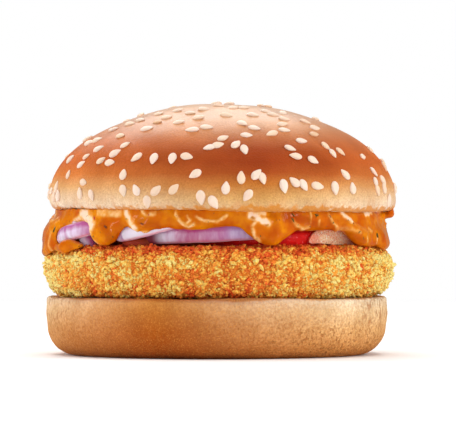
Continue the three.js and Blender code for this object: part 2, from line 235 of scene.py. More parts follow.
def lumps(co, scale, x=0, y=0, z=0):
    """Smooth noise from -1 to 1 at a place, finer with a higher scale and shifted by x, y and z."""
    return noise.noise(co * scale + Vector((x, y, z)))


def streaks_at(bearing, row, z):
    """Smooth noise along a bearing, for upright folds and creases."""
    return noise.noise(Vector((bearing, row, z)))


def side_light_share(co, shadiest):
    """How much painted side light a place gets: 0 at the shadiest bearing and opposite it, 1 half way
    between.
    """
    turn = math.radians(2 * (bearing_of(co.x, co.y) - shadiest))
    return ((1 - math.cos(turn)) / 2) ** 0.7


def arc(r, z, half, rise, start, end, steps):
    """Points of an elliptical arc about (r, z), between two angles in degrees."""
    angles = [math.radians(start + (end - start) * i / steps) for i in range(steps + 1)]
    return [(r + half * math.cos(a), z + rise * math.sin(a)) for a in angles]


def evenly(points, spacing):
    """The same outline with points about that far apart."""
    result = [points[0]]
    for (r0, z0), (r1, z1) in zip(points, points[1:]):
        count = max(1, round(math.dist((r0, z0), (r1, z1)) / spacing))
        result += [(r0 + (r1 - r0) * i / count, z0 + (z1 - z0) * i / count) for i in range(1, count + 1)]
    return result


def lathe(outline, steps):
    """A closed body turned about +Z from (radius, height) points that start and end on the axis."""
    bm = bmesh.new()
    verts = [bm.verts.new((0, -r, z)) for r, z in outline]
    edges = [bm.edges.new(pair) for pair in zip(verts, verts[1:])]
    bmesh.ops.spin(bm, geom=verts + edges, cent=(0, 0, 0), axis=(0, 0, 1), dvec=(0, 0, 0),
                   angle=math.tau, steps=steps, use_merge=True, use_duplicate=False)
    bmesh.ops.remove_doubles(bm, verts=bm.verts, dist=0.001)
    bmesh.ops.recalc_face_normals(bm, faces=bm.faces)
    return bm


def smoothed(bm, times):
    for _ in range(times):
        bmesh.ops.smooth_vert(bm, verts=bm.verts, factor=0.5,
                              use_axis_x=True, use_axis_y=True, use_axis_z=True)
    bm.normal_update()


def moved_along_normals(bm, distance_at):
    """Every point goes outwards by what distance_at gives for its place."""
    bm.normal_update()
    shifts = [vert.normal * distance_at(vert.co) for vert in bm.verts]
    for vert, shift in zip(bm.verts, shifts):
        vert.co += shift
    bm.normal_update()


def as_object(bm, name):
    """An object in the scene with the body as its mesh."""
    mesh = bpy.data.meshes.new(name)
    bm.to_mesh(mesh)
    bm.free()
    made = bpy.data.objects.new(name, mesh)
    bpy.context.collection.objects.link(made)
    return made


def with_modifier(bm, kind, **settings):
    """The body after one modifier, which is applied."""
    body = as_object(bm, "work")
    modifier = body.modifiers.new("work", kind)
    for name, value in settings.items():
        setattr(modifier, name, value)
    evaluated = body.evaluated_get(bpy.context.evaluated_depsgraph_get())
    result = bmesh.new()
    result.from_mesh(evaluated.to_mesh())
    bpy.data.objects.remove(body)
    return result


def node_copy(name):
    """A CAD node's own body, in millimetres, with its loose triangles joined."""
    bm = bmesh.new()
    bm.from_mesh(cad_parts[name].data)
    bmesh.ops.scale(bm, vec=(1 / MM,) * 3, verts=bm.verts)
    bmesh.ops.remove_doubles(bm, verts=bm.verts, dist=0.001)
    return bm


def mark(bm, name, value_at):
    """Stores a number at each point, for a material to read."""
    layer = bm.verts.layers.float.new(name)
    for vert in bm.verts:
        vert[layer] = value_at(vert)


def finished(bm, name, material, nodes=()):
    """Makes the piece, smooth and in metres, and gives it its place in the frame."""
    bmesh.ops.scale(bm, vec=(MM,) * 3, verts=bm.verts)
    for face in bm.faces:
        face.smooth = True
    piece = as_object(bm, name)
    piece.data.materials.append(material)
    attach(piece, "root")
    if nodes:
        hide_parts(*nodes)
    return piece


def joined_copies(shapes, places):
    """One body of many small ones. places holds (matrix, tone) for each."""
    bm = bmesh.new()
    tone_layer = bm.verts.layers.float.new("tone")
    for shape in shapes:
        shape.verts.ensure_lookup_table()
        shape.verts.index_update()
    for matrix, tone in places:
        shape = random.choice(shapes)
        verts = [bm.verts.new(matrix @ vert.co) for vert in shape.verts]
        for vert in verts:
            vert[tone_layer] = tone
        for face in shape.faces:
            bm.faces.new([verts[corner.index] for corner in face.verts])
    return bm


def random_lean(about_x, about_y):
    """A small random tilt, from its usual sizes in radians."""
    return (Matrix.Rotation(random.gauss(0, about_x), 4, "X")
            @ Matrix.Rotation(random.gauss(0, about_y), 4, "Y"))


def standing_on(place, normal, spin, lift=0.0):
    """The matrix that lays a small body flat on a surface, turned by spin about its normal."""
    upright = normal.to_track_quat("Z", "Y").to_matrix().to_4x4()
    return Matrix.Translation(place + normal * lift) @ upright @ Matrix.Rotation(spin, 4, "Z")


# ---------------------------------------------------------------- material helpers


def rgb(red, green, blue):
    """A colour from its 0 to 255 sRGB values."""
    def linear(value):
        value /= 255
        return value / 12.92 if value <= 0.04045 else ((value + 0.055) / 1.055) ** 2.4
    return (linear(red), linear(green), linear(blue), 1.0)


def grey(value):
    return (value, value, value, 1.0)


def stops(*rows):
    """The stops of a colour ramp, from rows of position, red, green and blue."""
    return [(position, rgb(*colour)) for position, *colour in rows]


def add(tree, kind, inputs=None, **settings):
    """A node with its settings and inputs. An input is a value, or the socket that feeds it."""
    made = tree.nodes.new(kind)
    for name, value in settings.items():
        setattr(made, name, value)
    for name, value in (inputs or {}).items():
        if isinstance(value, bpy.types.NodeSocket):
            tree.links.new(value, made.inputs[name])
        else:
            made.inputs[name].default_value = value
    return made


def ramp(tree, factor, colour_stops):
    made = add(tree, "ShaderNodeValToRGB", {"Fac": factor})
    elements = made.color_ramp.elements
    while len(elements) < len(colour_stops):
        elements.new(0.5)
    for element, (position, colour) in zip(elements, colour_stops):
        element.position = position
        element.color = colour
    return made.outputs["Color"]


def blend(tree, factor, first, second, how="MIX"):
    inputs = {0: factor, 6: first, 7: second}
    return add(tree, "ShaderNodeMix", inputs, data_type="RGBA", blend_type=how).outputs[2]


def compute(tree, operation, *values):
    return add(tree, "ShaderNodeMath", dict(enumerate(values)), operation=operation).outputs[0]


def times(tree, first, second):
    return compute(tree, "MULTIPLY", first, second)


def times_add(tree, value, factor, offset):
    return compute(tree, "MULTIPLY_ADD", value, factor, offset)


def inverse(tree, value):
    return compute(tree, "SUBTRACT", 1.0, value)


def between(tree, value, low, high):
    """How far a value has come from low to high, from 0 to 1."""
    inputs = {"Value": value, "From Min": low, "From Max": high}
    return add(tree, "ShaderNodeMapRange", inputs).outputs[0]


def tinted(tree, base, mask, share, colour):
    """The base colour with another one laid over it: where the mask is 1, by the given share."""
    return blend(tree, times(tree, mask, share), base, colour)


def attribute(tree, name):
    return add(tree, "ShaderNodeAttribute", attribute_name=name).outputs["Fac"]


def own_place(tree):
    """Where a point is on its own piece, in metres."""
    return add(tree, "ShaderNodeTexCoord").outputs["Object"]


def cloud(tree, place, size, detail):
    """Noise at a place in metres. Its features have about the given size in mm."""
    per_metre = compute(tree, "DIVIDE", 1 / MM, size)
    scaled = add(tree, "ShaderNodeVectorMath", {0: place, "Scale": per_metre}, operation="SCALE")
    inputs = {"Vector": scaled.outputs[0], "Scale": 1.0, "Detail": detail}
    return add(tree, "ShaderNodeTexNoise", inputs).outputs["Fac"]


def new_group(name, numbers, result):
    """An empty node group with number inputs, given as {name: default}, and one number as result."""
    group = bpy.data.node_groups.new(name, "ShaderNodeTree")
    for key, default in numbers.items():
        socket = group.interface.new_socket(name=key, in_out="INPUT", socket_type="NodeSocketFloat")
        socket.default_value = default
    group.interface.new_socket(name=result, in_out="OUTPUT", socket_type="NodeSocketFloat")
    return group, group.nodes.new("NodeGroupInput"), group.nodes.new("NodeGroupOutput")


def build_mottle():
    """Soft patches on the piece's own coordinates: their size in mm, stretched along Z."""
    numbers = {"Size": 2.0, "Stretch": 1.0, "Low": 0.4, "High": 0.6, "Detail": 2.0}
    group, given, out = new_group("mottle", numbers, "Mask")
    squeeze = {"X": 1.0, "Y": 1.0, "Z": compute(group, "DIVIDE", 1.0, given.outputs["Stretch"])}
    squeezed = {0: own_place(group), 1: add(group, "ShaderNodeCombineXYZ", squeeze).outputs[0]}
    place = add(group, "ShaderNodeVectorMath", squeezed, operation="MULTIPLY").outputs[0]
    patches = cloud(group, place, given.outputs["Size"], given.outputs["Detail"])
    mask = between(group, patches, given.outputs["Low"], given.outputs["High"])
    group.links.new(mask, out.inputs["Mask"])
    return group


def build_height():
    """Height between two levels in mm, from 0 to 1, with an uneven border."""
    numbers = {"Bottom": 0.0, "Top": 10.0, "Waver": 1.0, "Wave size": 12.0}
    group, given, out = new_group("height", numbers, "Height")
    place = own_place(group)
    level = times(group, add(group, "ShaderNodeSeparateXYZ", {0: place}).outputs["Z"], 1 / MM)
    uneven = compute(group, "SUBTRACT", cloud(group, place, given.outputs["Wave size"], 2.0), 0.5)
    wavering = times_add(group, uneven, given.outputs["Waver"], level)
    share = between(group, wavering, given.outputs["Bottom"], given.outputs["Top"])
    group.links.new(share, out.inputs["Height"])
    return group


MOTTLE = build_mottle()
HEIGHT = build_height()


def mottle(tree, size, low=0.4, high=0.6, stretch=1.0, detail=2.0):
    values = {"Size": size, "Low": low, "High": high, "Stretch": stretch, "Detail": detail}
    return add(tree, "ShaderNodeGroup", values, node_tree=MOTTLE).outputs["Mask"]


def height(tree, bottom, top, waver=1.0, wave_size=12.0):
    values = {"Bottom": bottom, "Top": top, "Waver": waver, "Wave size": wave_size}
    return add(tree, "ShaderNodeGroup", values, node_tree=HEIGHT).outputs["Height"]


def relief(tree, *layers):
    """A bumped normal from layers of (height mask, depth in mm)."""
    normal = None
    for mask, depth in layers:
        inputs = {"Height": mask, "Strength": 1.0, "Distance": depth * MM}
        if normal is not None:
            inputs["Normal"] = normal
        normal = add(tree, "ShaderNodeBump", inputs).outputs["Normal"]
    return normal


def food(name, **values):
    """A material and its tree, with values set on the Principled BSDF's own sockets."""
    material = bpy.data.materials.new(name)
    material.use_nodes = True
    tree = material.node_tree
    shader = tree.nodes["Principled BSDF"]
    for socket, value in values.items():
        shader.inputs[socket.replace("_", " ")].default_value = value
    return material, tree, shader


def feed(tree, shader, **sockets):
    for name, socket in sockets.items():
        tree.links.new(socket, shader.inputs[name.replace("_", " ")])


# ---------------------------------------------------------------- materials


def baked_bread(tree, dark, side_lit, patch_size, patch_colour):
    """Bread between its colour where painted shade falls and its paler colour where painted side light
    falls, with broad patches that are a little darker.
    """
    baked = blend(tree, attribute(tree, "side_lit"), dark, side_lit)
    patches = blend(tree, mottle(tree, patch_size, 0.3, 0.7), patch_colour, rgb(255, 255, 255))
    return blend(tree, 1.0, baked, patches, "MULTIPLY")


def crust_material():
    material, tree, shader = food("baked_crust", Coat_Roughness=0.36, Specular_IOR_Level=0.1)
    level = height(tree, 41.6, 72.4, waver=2.2, wave_size=13)
    # The first ramp is the crust where painted shade falls, the second where painted side light falls;
    # both grow lighter towards the top, partly the crust's own colour and partly a painted sheen.
    dark = ramp(tree, level, stops(
        (0.00, 242, 206, 154), (0.12, 230, 178, 104), (0.23, 206, 126, 52), (0.33, 172, 76, 28),
        (0.43, 156, 60, 22), (0.54, 164, 68, 26), (0.64, 196, 108, 58), (0.78, 226, 162, 106),
        (1.00, 240, 186, 130)))
    side_lit = ramp(tree, level, stops(
        (0.00, 255, 240, 222), (0.10, 252, 228, 196), (0.22, 240, 184, 122), (0.33, 224, 132, 62),
        (0.45, 214, 108, 42), (0.60, 214, 118, 56), (1.00, 236, 178, 116)))
    bread = baked_bread(tree, dark, side_lit, 10, rgb(230, 224, 214))
    grain = mottle(tree, 0.5, 0.3, 0.7, detail=2)
    grained = tinted(tree, bread, grain, 0.32, rgb(140, 64, 24))
    # upright creases at the rim, and below them the line that the sauce has wetted
    creases = mottle(tree, 1.6, 0.45, 0.7, stretch=5, detail=3)
    rim = inverse(tree, height(tree, 42, 47, waver=2, wave_size=6))
    creased = tinted(tree, grained, times(tree, creases, rim), 0.6, rgb(210, 144, 94))
    wetted = inverse(tree, height(tree, 42.1, 42.9, waver=4.5, wave_size=1.8))
    stain_and_shade = tinted(tree, creased, wetted, 0.8, rgb(212, 130, 30))
    sheen = ramp(tree, level, [(0.5, grey(0.0)), (0.85, grey(1.0))])
    bumps = relief(tree, (mottle(tree, 1.4, 0.2, 0.8), 0.05), (grain, 0.14))
    feed(tree, shader, Base_Color=stain_and_shade, Normal=bumps, Coat_Weight=times(tree, sheen, 0.95),
         Roughness=times_add(tree, sheen, -0.2, 0.62))
    return material


def crumb_material():
    """The soft inside of the bun, on its cut faces."""
    material, tree, shader = food("bun_crumb", Roughness=0.85, Subsurface_Weight=0.15,
                                  Subsurface_Scale=0.002)
    shaded_pits = mottle(tree, 1.8, 0.36, 0.5, detail=4)
    # the pores are painted darker, as painted shade in them
    colour = blend(tree, shaded_pits, rgb(214, 176, 120), rgb(246, 228, 188))
    feed(tree, shader, Base_Color=colour, Normal=relief(tree, (shaded_pits, 0.3)))
    return material


def heel_material():
    material, tree, shader = food("heel_side", Specular_IOR_Level=0.1)
    level = height(tree, 0, 16.8, waver=2.6, wave_size=14)
    # The first ramp is the bread where painted shade falls, the second where painted side light falls; the
    # last stops of both darken the top edge, a painted shadow under the patty.
    dark = ramp(tree, level, stops(
        (0.00, 146, 62, 12), (0.15, 168, 78, 16), (0.45, 176, 88, 18), (0.75, 196, 120, 48),
        (0.92, 208, 140, 68), (0.98, 176, 98, 40), (1.00, 160, 82, 32)))
    side_lit = ramp(tree, level, stops(
        (0.00, 216, 138, 68), (0.15, 236, 170, 96), (0.50, 252, 204, 140), (0.80, 255, 228, 182),
        (0.97, 255, 242, 214), (1.00, 226, 176, 118)))
    bread = baked_bread(tree, dark, side_lit, 8, rgb(228, 220, 208))
    grain = mottle(tree, 0.7, 0.36, 0.64, detail=3)
    grained = tinted(tree, bread, grain, times_add(tree, level, -0.25, 0.55), rgb(160, 74, 20))
    flour = mottle(tree, 0.38, 0.5, 0.8, detail=1)
    dusted = tinted(tree, grained, flour, 0.5, rgb(236, 162, 74))
    # small pits, most where painted side light falls, and upright creases where the ends were torn apart,
    # both painted darker as painted shade in them
    often = times_add(tree, attribute(tree, "side_lit"), 0.55, 0.25)
    lower = compute(tree, "SUBTRACT", 1.2, height(tree, 7, 14, waver=3, wave_size=6))
    pitted = times(tree, times(tree, mottle(tree, 0.85, 0.54, 0.66, stretch=1.2), often), lower)
    torn = times(tree, mottle(tree, 1.1, 0.52, 0.66, stretch=2.0, detail=3), attribute(tree, "torn"))
    shaded_pits = compute(tree, "MAXIMUM", pitted, torn)
    pored = tinted(tree, dusted, shaded_pits, 0.62, rgb(174, 100, 44))
    bumps = relief(tree, (compute(tree, "SUBTRACT", flour, grain), 0.08), (inverse(tree, shaded_pits), 0.3))
    feed(tree, shader, Base_Color=pored, Roughness=times_add(tree, grain, 0.1, 0.66), Normal=bumps)
    return material


def seed_material():
    material, tree, shader = food("sesame", Roughness=0.42, Subsurface_Weight=0.2,
                                  Subsurface_Scale=0.0008, Subsurface_Radius=(1.0, 0.7, 0.4))
    hull = ramp(tree, attribute(tree, "tone"), stops(
        (0.0, 222, 178, 124), (0.3, 250, 238, 216), (1.0, 255, 254, 250)))
    feed(tree, shader, Base_Color=blend(tree, 1.0, hull, rgb(238, 216, 202), "MULTIPLY"))
    return material


def fried_material(name, colour_stops):
    """Fried crumb, from dark to pale by the stored tone, with a fine grain."""
    material, tree, shader = food(name, Roughness=0.5, Specular_IOR_Level=0.25)
    grain = mottle(tree, 0.55, 0.36, 0.64, detail=2)
    shade = compute(tree, "ADD", attribute(tree, "tone"), times_add(tree, grain, 0.4, -0.19))
    feed(tree, shader, Base_Color=ramp(tree, shade, colour_stops), Normal=relief(tree, (grain, 0.25)))
    return material


def sauce_material():
    """Glossy orange sauce. Stored numbers say where cream film and painted highlights lie, where streaks
    of painted shade lie, and where painted shade darkens the sauce among the layers.
    """
    material, tree, shader = food(
        "orange_sauce", Roughness=0.34, Specular_IOR_Level=0.06, Coat_Weight=0.45, Coat_Roughness=0.14,
        Subsurface_Weight=0.08, Subsurface_Scale=0.001, Subsurface_Radius=(1.0, 0.35, 0.04))
    base = blend(tree, mottle(tree, 6, 0.35, 0.65), rgb(196, 88, 0), rgb(218, 130, 0))
    spotted = tinted(tree, base, mottle(tree, 1.2, 0.45, 0.65), 0.3, rgb(188, 70, 2))
    # painted shade: darker red-brown streaks and dimples on the skirt
    shade_streaks = blend(tree, attribute(tree, "shade_streaks"), spotted, rgb(164, 58, 0))
    # painted shade among the layers
    shaded = tinted(tree, shade_streaks, attribute(tree, "shaded_inside"), 0.9, rgb(176, 66, 52))
    streaks = times_add(tree, mottle(tree, 1.3, 0.3, 0.6, detail=3), 0.5, 0.55)
    # cream film and painted highlights, from orange through cream to near white
    cream_and_highlight = times(tree, attribute(tree, "cream_and_highlight"), streaks)
    cream_and_highlight_colour = ramp(tree, cream_and_highlight, stops((0.0, 232, 146, 30), (0.5, 238, 184, 104), (1.0, 244, 210, 182)))
    cover = compute(tree, "MINIMUM", times(tree, cream_and_highlight, 1.3), 1.0)
    feed(tree, shader, Base_Color=blend(tree, cover, shaded, cream_and_highlight_colour))
    return material


def herb_material():
    material, tree, shader = food("herb_flecks", Roughness=0.4, Coat_Weight=0.3)
    colour = ramp(tree, attribute(tree, "tone"), stops(
        (0.0, 72, 70, 16), (0.5, 110, 84, 18), (0.6, 124, 54, 12), (0.7, 142, 60, 14), (1.0, 206, 60, 50)))
    feed(tree, shader, Base_Color=colour)
    return material


def onion_material():
    """Moist red onion. Stored numbers say how white and how cool each place is, and where a painted shadow
    darkens it.
    """
    material, tree, shader = food(
        "red_onion", Roughness=0.26, Coat_Weight=0.35, Coat_Roughness=0.12, Subsurface_Weight=0.25,
        Subsurface_Scale=0.0015, Subsurface_Radius=(1.0, 0.6, 0.9))
    up = attribute(tree, "up")
    side = add(tree, "ShaderNodeCombineXYZ", {"X": attribute(tree, "along"), "Y": times(tree, up, 1.6)})

    def streaks(scale, detail):
        inputs = {"Vector": side.outputs[0], "Scale": scale, "Detail": detail}
        return add(tree, "ShaderNodeTexNoise", inputs).outputs["Fac"]

    broad = compute(tree, "SUBTRACT", streaks(0.45, 1.0), 0.5)
    veins = compute(tree, "SUBTRACT", between(tree, streaks(1.1, 3.0), 0.35, 0.65), 0.5)
    washed = times_add(tree, veins, 0.17, times_add(tree, broad, 0.6, attribute(tree, "white")))
    white = times_add(tree, between(tree, up, 0.5, 0.95), -0.9, washed)
    skin = blend(tree, attribute(tree, "cool"), rgb(188, 78, 134), rgb(172, 130, 188))
    flesh_share = ramp(tree, white, [(0.0, grey(0.0)), (0.35, grey(0.25)), (0.9, grey(1.0))])
    layered = blend(tree, flesh_share, skin, rgb(234, 228, 246))
    footed = tinted(tree, layered, between(tree, up, 0.16, 0.02), 0.75, rgb(222, 120, 132))
    peeled = blend(tree, attribute(tree, "skin"), rgb(232, 190, 214), footed)
    # painted shadow over the left end of a petal
    stain_and_shade = tinted(tree, peeled, attribute(tree, "painted_shadow"), 0.85, rgb(136, 44, 56))
    feed(tree, shader, Base_Color=stain_and_shade)
    return material


def tomato_material():
    """Wet skin and cut flesh, with painted glints on both, and the flesh's pale lower part partly a
    painted highlight. Stored numbers say how much skin shows and how near the edge is.
    """
    material, tree, shader = food(
        "ripe_tomato", Roughness=0.2, Coat_Weight=0.5, Coat_Roughness=0.08, Subsurface_Weight=0.3,
        Subsurface_Scale=0.002, Subsurface_Radius=(1.0, 0.25, 0.15))
    red = blend(tree, mottle(tree, 6, 0.35, 0.65), rgb(206, 14, 20), rgb(232, 34, 28))
    # painted glints: small pink spots on the skin
    skin_with_glints = tinted(tree, red, mottle(tree, 0.7, 0.66, 0.74, detail=1), 0.6, rgb(244, 120, 120))
    # the flesh is paler lower down, partly a painted highlight, and redder near its top edge
    pulp = blend(tree, attribute(tree, "edge"), rgb(255, 214, 168), rgb(252, 138, 110))
    grained = tinted(tree, pulp, mottle(tree, 0.6, 0.4, 0.6, detail=2), 0.4, rgb(250, 132, 96))
    # painted glints: small near-white spots on the flesh
    glinting = blend(tree, mottle(tree, 0.45, 0.58, 0.68, detail=1), grained, rgb(255, 244, 226))
    cells = add(tree, "ShaderNodeTexVoronoi", {"Vector": own_place(tree), "Scale": 1800.0})
    pits = between(tree, cells.outputs["Distance"], 0.34, 0.2)
    flesh = tinted(tree, glinting, pits, 0.7, rgb(196, 76, 52))
    feed(tree, shader, Base_Color=blend(tree, attribute(tree, "skin"), flesh, skin_with_glints))
    return material


def floor_material():
    material, tree, shader = food("pale_floor", Roughness=0.9, Specular_IOR_Level=0.1)
    shade = blend(tree, mottle(tree, 60, 0.3, 0.7), rgb(250, 250, 250), rgb(253, 253, 253))
    feed(tree, shader, Base_Color=shade)
    return material


# ---------------------------------------------------------------- bun


def waves(bearing, size, phase):
    """A gentle unevenness round a hand-made round shape."""
    turn = math.radians(bearing)
    return size * (math.sin(2 * turn + phase) + 0.6 * math.sin(3 * turn + 2 * phase)
                   + 0.4 * math.sin(5 * turn))


def make_crown(crust, crumb):
    """The domed top of the bun. Gives back its surface, for the seeds to lie on."""
    cut_radius = 0.96 * CROWN_RADIUS
    dome = CROWN_TOP - CROWN_FACE - CROWN_RIM
    rim = arc(cut_radius, CROWN_RIM, CROWN_RADIUS - cut_radius, CROWN_RIM, -90, 0, 10)
    outline = (evenly([(0, 0), (cut_radius, 0)], 2.0)[:-1] + evenly(rim, 0.5)[:-1]
               + evenly(arc(0, CROWN_RIM, CROWN_RADIUS, dome, 0, 90, 90), 0.8))
    bm = lathe(outline, steps=420)

    def skin(co):
        bearing = bearing_of(co.x, co.y)
        outer = smoothstep(0.8 * cut_radius, cut_radius, from_axis(co))
        low = (1 - smoothstep(1.0, 8.0, co.z)) * outer
        folds = streaks_at(bearing * 0.42, 3.1, co.z * 0.05)
        fine = streaks_at(bearing * 1.3, 8.4, co.z * 0.12)
        side = 0.35 + 0.65 * abs(math.sin(math.radians(bearing)))
        swell = lumps(co, 0.055, 5, 1, 2)
        dimple = lumps(co, 0.35)
        return (waves(bearing, 0.0022, 0.4) * CROWN_RADIUS * outer + 0.5 * swell
                + 0.04 * dimple + low * side * (0.45 * folds + 0.26 * fine))

    moved_along_normals(bm, skin)
    for face in bm.faces:
        inner = face.normal.z < -0.9 and from_axis(face.calc_center_median()) < cut_radius - 0.3
        face.material_index = 1 if inner else 0
    # painted side light: the crust is paler towards its sides
    mark(bm, "side_lit", lambda vert: side_light_share(vert.co, PAINTED_SHADE_BEARINGS["crown"]))
    tilt = Matrix.Rotation(math.radians(CROWN_TILT), 4, "Y")
    place = Matrix.Translation((CROWN_X, CROWN_Y, CROWN_FACE)) @ tilt
    bmesh.ops.transform(bm, matrix=place, verts=bm.verts)
    surface = BVHTree.FromBMesh(bm)
    piece = finished(bm, "crown_crust", crust, nodes=["crown"])
    piece.data.materials.append(crumb)
    return surface


def seed_shape():
    """A sesame seed lying flat: a teardrop 3.4 mm long with a faint hollow on top."""
    bm = bmesh.new()
    bmesh.ops.create_uvsphere(bm, u_segments=12, v_segments=8, radius=1)
    bmesh.ops.rotate(bm, cent=(0, 0, 0), matrix=Matrix.Rotation(math.pi / 2, 3, "Y"), verts=bm.verts)
    for vert in bm.verts:
        x, y, z = vert.co
        pointed = 1 - 0.48 * smoothstep(-0.3, 1.2, x)
        hollow = 1 - 0.25 * smoothstep(0.8, 1.0, z)
        vert.co = Vector((1.7 * x + 0.1, 1.14 * y * pointed, 0.66 * z * pointed * hollow))
    return bm


def on_dome(bearing, level):
    """A place near the crown's surface, at a bearing and a height."""
    middle = Vector((CROWN_X, CROWN_Y, CROWN_FACE + CROWN_RIM))
    share = min(0.999, max(-0.2, (level - middle.z) / (CROWN_TOP - middle.z)))
    return middle + around(CROWN_RADIUS * math.sqrt(1 - share * share), bearing, level - middle.z)


def more_seeds():
    """Rows of the same density for the rest of the crown, uneven and often in twos and threes."""
    seeds = []
    for level, count in SEED_ROWS:
        offset = random.uniform(0, 360)
        for i in range(count):
            bearing = offset + 360 * (i + random.uniform(-0.42, 0.42)) / count
            from_front = abs(apart(bearing, 0))
            if from_front < 78 or (from_front < 100 and level > 50 and random.random() < 0.5):
                continue
            spot = on_dome(bearing, level + random.gauss(0, 1.1))
            seeds.append((spot, random.uniform(0, 360), random.uniform(0.88, 1.12)))
            if random.random() < 0.22:
                near = spot + Vector([random.uniform(-2.6, 2.6) for _ in range(3)])
                seeds.append((near, random.uniform(0, 360), random.uniform(0.88, 1.12)))
    return seeds


def make_seeds(surface, material):
    """Lays each seed on the crown with its tip turned as given, and leaves out those too close."""
    seeds = [(on_dome(bearing, level), turn + random.uniform(-6, 6), size)
             for bearing, level, turn, size in SEEDS]
    seeds += more_seeds()
    lowest = CROWN_FACE + 1.6
    least_gap = 1.9
    lift = 0.16  # the middle of a seed above the crust
    usual = 1.04  # the scale of a seed of size 1
    places = []
    kept = []
    for spot, turn, size in seeds:
        place, normal, _, _ = surface.find_nearest(spot)
        if place.z < lowest or any((place - other).length < least_gap for other in kept):
            continue
        kept.append(place)
        up = Vector((0, 0, 1)) - normal * normal.z
        if up.length < 0.05:  # at the very top, where the crust lies level
            up = Vector((0, 1, 0))
        up.normalize()
        right = up.cross(normal)
        tip = up * math.cos(math.radians(turn)) + right * math.sin(math.radians(turn))
        laid = Matrix((tip, normal.cross(tip), normal)).transposed().to_4x4()
        lean = random_lean(0.1, 0.08)
        matrix = Matrix.Translation(place + normal * lift) @ laid @ lean @ Matrix.Scale(usual * size, 4)
        places.append((matrix, random.betavariate(4, 2)))
    finished(joined_copies([seed_shape()], places), "sesame_seeds", material)


def make_heel(side, crumb):
    foot = 0.825 * HEEL_RADIUS
    corner = 8.5  # height of the rounded lower edge
    lip = 1.0  # radius of the upper edge
    lip_radius = HEEL_RADIUS - 0.3 - lip
    outer_side = (arc(foot, corner, HEEL_RADIUS - 0.4 - foot, corner, -90, 0, 24)
                  + [(HEEL_RADIUS, 0.7 * HEEL_TOP)]
                  + arc(lip_radius, HEEL_TOP - lip, lip, lip, 0, 90, 6))
    outline = (evenly([(0, 0), (foot, 0)], 2.0)[:-1] + evenly(outer_side, 0.5)[:-1]
               + evenly([(lip_radius, HEEL_TOP), (0, HEEL_TOP)], 1.5))
    bm = lathe(outline, steps=480)

    def skin(co):
        bearing = bearing_of(co.x, co.y)
        outer = smoothstep(0.8 * foot, HEEL_RADIUS, from_axis(co)) * smoothstep(0.0, 1.5, co.z)
        creases = streaks_at(bearing * 0.9, 1.7, co.z * 0.1)
        side_share = 0.3 + 0.7 * abs(math.sin(math.radians(bearing)))
        high = smoothstep(5.0, 15.0, co.z)
        grain = lumps(co, 1.1)
        swell = lumps(co, 0.08, 2, 7, 4)
        return (waves(bearing, 0.0022, 1.2) * HEEL_RADIUS * outer + outer * (0.3 * swell + 0.06 * grain)
                + 0.16 * creases * side_share * high * outer)

    # painted side light: paler towards the sides, and less so towards the middle of the underside
    def side_lit(vert):
        return side_light_share(vert.co, PAINTED_SHADE_BEARINGS["heel"]) * smoothstep(4, 36, from_axis(vert.co))

    def torn(vert):
        from_front = abs(apart(bearing_of(vert.co.x, vert.co.y), 0))
        return smoothstep(44, 66, from_front) * (0.5 + 0.5 * smoothstep(4, 12, vert.co.z))

    moved_along_normals(bm, skin)
    for face in bm.faces:
        there = face.calc_center_median()
        inner = there.z > HEEL_TOP - 1 and from_axis(there) < PATTY_RADIUS - 5
        face.material_index = 1 if inner else 0
    mark(bm, "side_lit", side_lit)
    mark(bm, "torn", torn)
    piece = finished(bm, "heel_bread", side, nodes=["heel"])
    piece.data.materials.append(crumb)


# ---------------------------------------------------------------- patty


def crumb_shapes(count, roughness, sides=5):
    """Irregular grains with half sizes of about 1, to be scaled: sides 5 are chunky, 4 sharp."""
    shapes = []
    for _ in range(count):
        bm = bmesh.new()
        if sides == 5:
            bmesh.ops.create_icosphere(bm, subdivisions=1, radius=1)
        else:
            bmesh.ops.create_uvsphere(bm, u_segments=4, v_segments=2, radius=1)
        for vert in bm.verts:
            vert.co *= random.uniform(1 - roughness, 1 + roughness)
        half_sizes = (random.uniform(0.9, 1.6), random.uniform(0.55, 1.0), random.uniform(0.5, 0.9))
        bmesh.ops.scale(bm, vec=half_sizes, verts=bm.verts)
        shapes.append(bm)
    return shapes


def fried_tone(co):
    """How pale the frying is at a place: patches, paler sides from painted side light, darker below and
    redder where the juices run.
    """
    patches = lumps(co, 0.2, 1, 4, 2) + 0.7 * lumps(co, 0.5) + 0.5 * lumps(co, 1.1)
    share = (co.z - PATTY_LOW) / (PATTY_TOP - PATTY_LOW)
    side = side_light_share(co, PAINTED_SHADE_BEARINGS["patty"])
    below = 0.16 * (1 - smoothstep(0.0, 0.2, share))
    juices = (0.6 + 0.3 * side) * smoothstep(0.74, 1.0, share)
    return 0.52 + 0.46 * patches + 0.4 * side ** 1.5 - below - juices


def shade_undersides(bm):
    """Paints whatever faces down a little darker and redder: painted shade on the undersides."""
    tone = bm.verts.layers.float["tone"]
    bm.normal_update()
    for vert in bm.verts:
        vert[tone] += 0.24 * min(0.0, vert.normal.z)
    return bm


